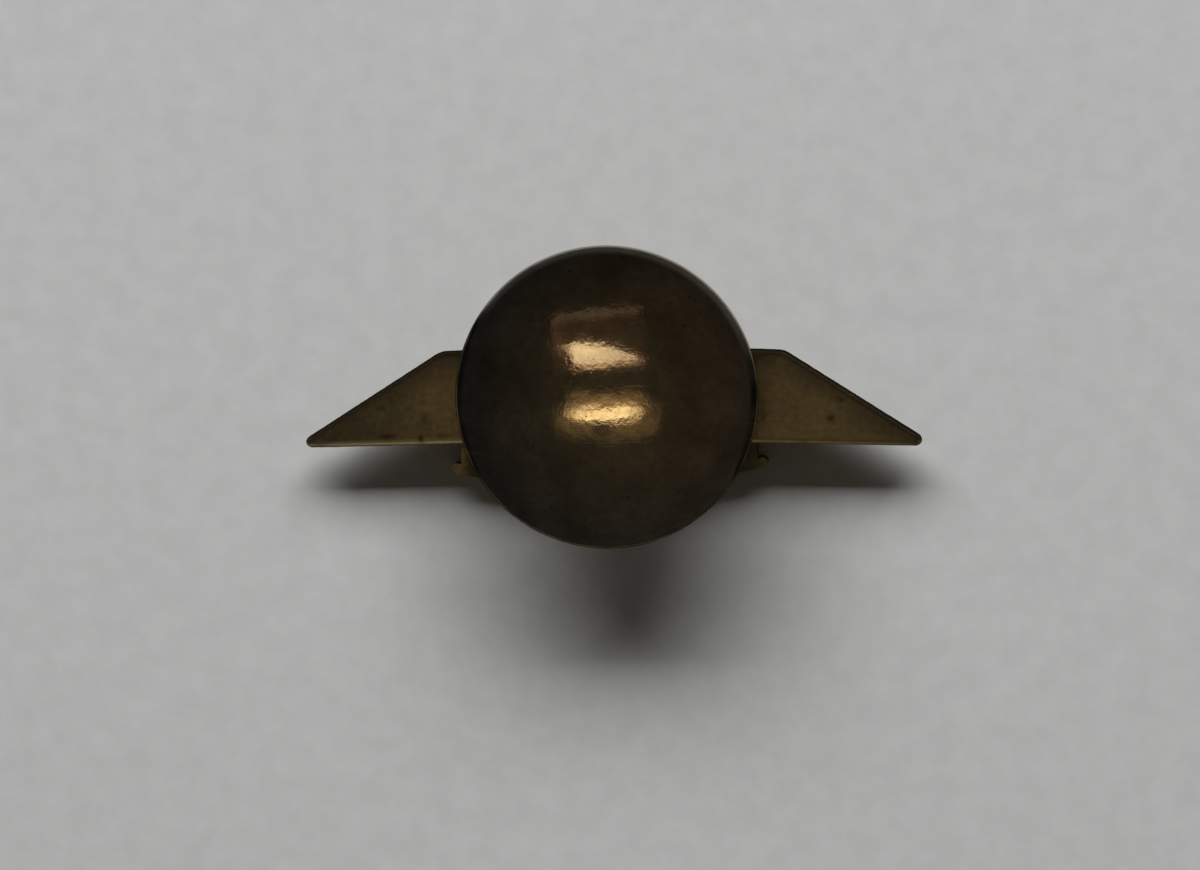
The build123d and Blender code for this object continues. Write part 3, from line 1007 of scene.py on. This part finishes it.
UPPER_WINDOW_U = (0.0, 1.0, 0.06)
UPPER_WINDOW_LEANING = (-0.10, 0.86, 0.05)
UPPER_DIM = 0.015
TOP_STRIP_FROM, TOP_STRIP_TO = 0.66, 0.77
TOP_STRIP = 0.062
TOP_STRIP_PALENESS = 12.0
LEFT_STRIP_U = (-0.2, 0.22, 0.16)
LEFT_STRIP_V = (0.12, 0.90, 0.35)
LEFT_STRIP = 0.050
UPPER_DIM_COLOUR = (1.0, 0.60, 0.46)
UPPER_BRIGHT_COLOUR = (1.0, 0.985, 0.91)

# The band: its foot curves up to both sides of its middle
BAND_U = (0.12, 0.86, 0.17)
BAND_TOP_FROM, BAND_TOP_TO = 0.53, 0.63
BAND_FOOT, BAND_MIDDLE_U, BAND_FOOT_CURVE = 0.392, 0.45, 0.55
BAND_FOOT_FROM, BAND_FOOT_TO = -0.03, 0.09
BAND_STREAK_SCALE = 7.0
BAND_STREAK_STRETCH = (2.0, 1.0, 1.0)
BAND_STREAK, BAND_LEAST = 0.6, 0.80

SHELF_U = (0.10, 0.90, 0.16)
SHELF_V = (0.46, 0.92, 0.24)
SHELF_AT_LEFT, SHELF_GAIN = 0.11, 0.12
GLOW_U = (-0.08, 1.10, 0.26)
GLOW_V = (0.0, 0.75, 0.34)
GLOW = 0.070
NOTCH_U = (0.370, 0.600, 0.04)
NOTCH_V = (0.205, 0.370, 0.04)
NOTCH_DEPTH = 0.97
LOWER_DIM_COLOUR = (1.0, 0.78, 0.46)
LOWER_BRIGHT_COLOUR = (1.0, 0.94, 0.72)


def paint_upper_pane(light):
    """A dim pane with a bright wedge low in it."""
    tree = LightTree(light)
    fall = tree.math("POWER", tree.excess(tree.u, WEDGE_FALL_FROM_U), WEDGE_FALL_POWER)
    top = tree.straight(fall, WEDGE_FALL, WEDGE_TOP)
    foot = tree.straight(tree.excess(WEDGE_FOOT_LEFT_OF_U, tree.u), WEDGE_FOOT_LEFT_RISE, WEDGE_FOOT)
    foot = tree.straight(tree.excess(tree.u, WEDGE_FOOT_RIGHT_OF_U), WEDGE_FOOT_RIGHT_RISE, foot)
    below_top = tree.rise(tree.math("SUBTRACT", top, tree.v), 0.0, WEDGE_TOP_SOFT)
    above_foot = tree.rise(tree.math("SUBTRACT", tree.v, foot), WEDGE_FOOT_FROM, WEDGE_FOOT_TO)
    wedge = tree.times(below_top, above_foot, tree.rise(tree.u, WEDGE_LEFT_FROM, WEDGE_LEFT_TO))

    leaning = tree.straight(tree.u, PANE_LEAN, tree.v)
    whole = tree.times(tree.window(tree.u, *UPPER_WINDOW_U), tree.window(leaning, *UPPER_WINDOW_LEANING))
    top_strip = tree.times(tree.rise(leaning, TOP_STRIP_FROM, TOP_STRIP_TO), TOP_STRIP)
    strips = tree.straight(tree.patch(LEFT_STRIP_U, LEFT_STRIP_V), LEFT_STRIP, top_strip)
    dim = tree.times(whole, tree.math("ADD", strips, UPPER_DIM))

    streaks = tree.noise(tree.stretched(tree.parametric, WEDGE_STREAK_STRETCH), WEDGE_STREAK_SCALE)
    glare = tree.straight(wedge, tree.straight(streaks, WEDGE_STREAK, WEDGE_LEAST), dim)
    pale = tree.math("MAXIMUM", wedge, tree.times(top_strip, TOP_STRIP_PALENESS))
    tree.shine(glare, pale, UPPER_DIM_COLOUR, UPPER_BRIGHT_COLOUR)


def paint_lower_pane(light):
    """A pane that is brightest in a band along its middle, and glows softly above and below it."""
    tree = LightTree(light)
    off_middle = tree.math("SUBTRACT", tree.u, BAND_MIDDLE_U)
    foot = tree.straight(tree.times(off_middle, off_middle), BAND_FOOT_CURVE, BAND_FOOT)
    past_top = tree.rise(tree.straight(tree.u, PANE_LEAN, tree.v), BAND_TOP_FROM, BAND_TOP_TO)
    above_foot = tree.rise(tree.math("SUBTRACT", tree.v, foot), BAND_FOOT_FROM, BAND_FOOT_TO)
    streaks = tree.noise(tree.stretched(tree.parametric, BAND_STREAK_STRETCH), BAND_STREAK_SCALE)
    band = tree.times(
        tree.math("SUBTRACT", 1.0, past_top),
        above_foot,
        tree.window(tree.u, *BAND_U),
        tree.straight(streaks, BAND_STREAK, BAND_LEAST),
    )

    shelf = tree.times(tree.patch(SHELF_U, SHELF_V), tree.straight(tree.u, SHELF_GAIN, SHELF_AT_LEFT))
    soft = tree.math("ADD", shelf, tree.times(tree.patch(GLOW_U, GLOW_V), GLOW))
    left_by_notch = tree.straight(tree.patch(NOTCH_U, NOTCH_V), -NOTCH_DEPTH, 1.0)
    glare = tree.times(tree.math("ADD", band, soft), left_by_notch)
    tree.shine(glare, band, LOWER_DIM_COLOUR, LOWER_BRIGHT_COLOUR)


# The key is a wide, low softbox that makes the soft shadows; polished metal doesn't mirror it
key_place = spherical(KEY_DISTANCE, KEY_ZENITH, KEY_AZIMUTH)
key = area_light("key_soft", key_place, key_place, KEY_SIZE, KEY_POWER, KEY_COLOUR)
key.visible_glossy = False

# The polished cap mirrors the panes; softboxes overhead and at the sides give the other metal its sheen
cap_only = bpy.data.collections.new("mirrors_the_panes")
cap_only.objects.link(cap)
other_metal = bpy.data.collections.new("takes_the_sheen")
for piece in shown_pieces():
    if piece is not cap:
        other_metal.objects.link(piece)

sheen = area_light("sheen_soft", SHEEN_PLACE, SHEEN_OUTWARD, SHEEN_SIZE, SHEEN_POWER, SHEEN_COLOUR)
only_mirrored(sheen, other_metal)
for azimuth, power in SIDE_POWER_AT_AZIMUTH.items():
    side_place = spherical(SIDE_DISTANCE, SIDE_ZENITH, azimuth)
    side = area_light(f"side_soft_{azimuth}", side_place, side_place, SIDE_SIZE, power, SIDE_COLOUR)
    only_mirrored(side, other_metal)

upper_pane = area_light(
    "pane_upper",
    UPPER_PANE_PLACE,
    UPPER_PANE_OUTWARD,
    UPPER_PANE_SIZE,
    UPPER_PANE_POWER,
    WHITE,
    UPPER_PANE_ROLL,
)
only_mirrored(upper_pane, cap_only)
paint_upper_pane(upper_pane)

lower_pane = area_light(
    "pane_lower", LOWER_PANE_PLACE, LOWER_PANE_OUTWARD, LOWER_PANE_SIZE, LOWER_PANE_POWER, WHITE
)
only_mirrored(lower_pane, cap_only)
paint_lower_pane(lower_pane)


# -------------------------------------------------------------------------- world

# A dim room all round. The metal mirrors its slopes of colour along X, Y and Z, the fill lights the
# shadows, and low views see the backdrop.
ROOM_BASE = (0.039, 0.046, 0.066)
ROOM_SLOPES = (
    (0.014, 0.010, 0.004),
    (-0.010, -0.013, -0.018),
    (0.048, 0.042, 0.014),
)
SHADOW_FILL = (0.044, 0.040, 0.031)
BACKDROP = (0.42, 0.425, 0.42)

world = bpy.data.worlds.new("studio")
world.use_nodes = True
tree = NodeTree(world.node_tree)
direction = tree.split(tree.nodes.new("ShaderNodeTexCoord").outputs["Generated"])
room = ROOM_BASE
for amount, slope in zip(direction, ROOM_SLOPES):
    room = tree.vector_math("MULTIPLY_ADD", slope, amount, room)
ray = tree.nodes.new("ShaderNodeLightPath").outputs
seen = tree.mix(ray["Is Diffuse Ray"], room, SHADOW_FILL)
seen = tree.mix(ray["Is Camera Ray"], seen, BACKDROP)
tree.feed(tree.nodes["Background"].inputs["Color"], seen)
scene.world = world
scene.view_settings.view_transform = "Standard"


# ------------------------------------------------------------------------- camera

# A point in the scene is turned by YAW, PITCH and ROLL and then moved by OFFSET into the camera's axes
YAW = radians(-4.53)
PITCH = radians(5.0)
ROLL = radians(0.58)
OFFSET = Vector((0.74, 2.33, -200.0)) * MM
FIELD_WIDTH = 60.82 * MM
SENSOR_WIDTH = 36.0

turn_y = Matrix(((cos(YAW), 0, sin(YAW)), (0, 1, 0), (-sin(YAW), 0, cos(YAW))))
turn_x = Matrix(((1, 0, 0), (0, cos(PITCH), -sin(PITCH)), (0, sin(PITCH), cos(PITCH))))
turn_z = Matrix(((cos(ROLL), -sin(ROLL), 0), (sin(ROLL), cos(ROLL), 0), (0, 0, 1)))
to_camera = turn_z @ turn_x @ turn_y
camera_data = bpy.data.cameras.new("camera")
camera_data.sensor_width = SENSOR_WIDTH
camera_data.lens = SENSOR_WIDTH * -OFFSET.z / FIELD_WIDTH
camera_data.clip_start = 5 * MM
camera = bpy.data.objects.new("camera", camera_data)
camera.matrix_world = Matrix.Translation(to_camera.transposed() @ -OFFSET) @ to_camera.transposed().to_4x4()
scene.collection.objects.link(camera)
scene.camera = camera
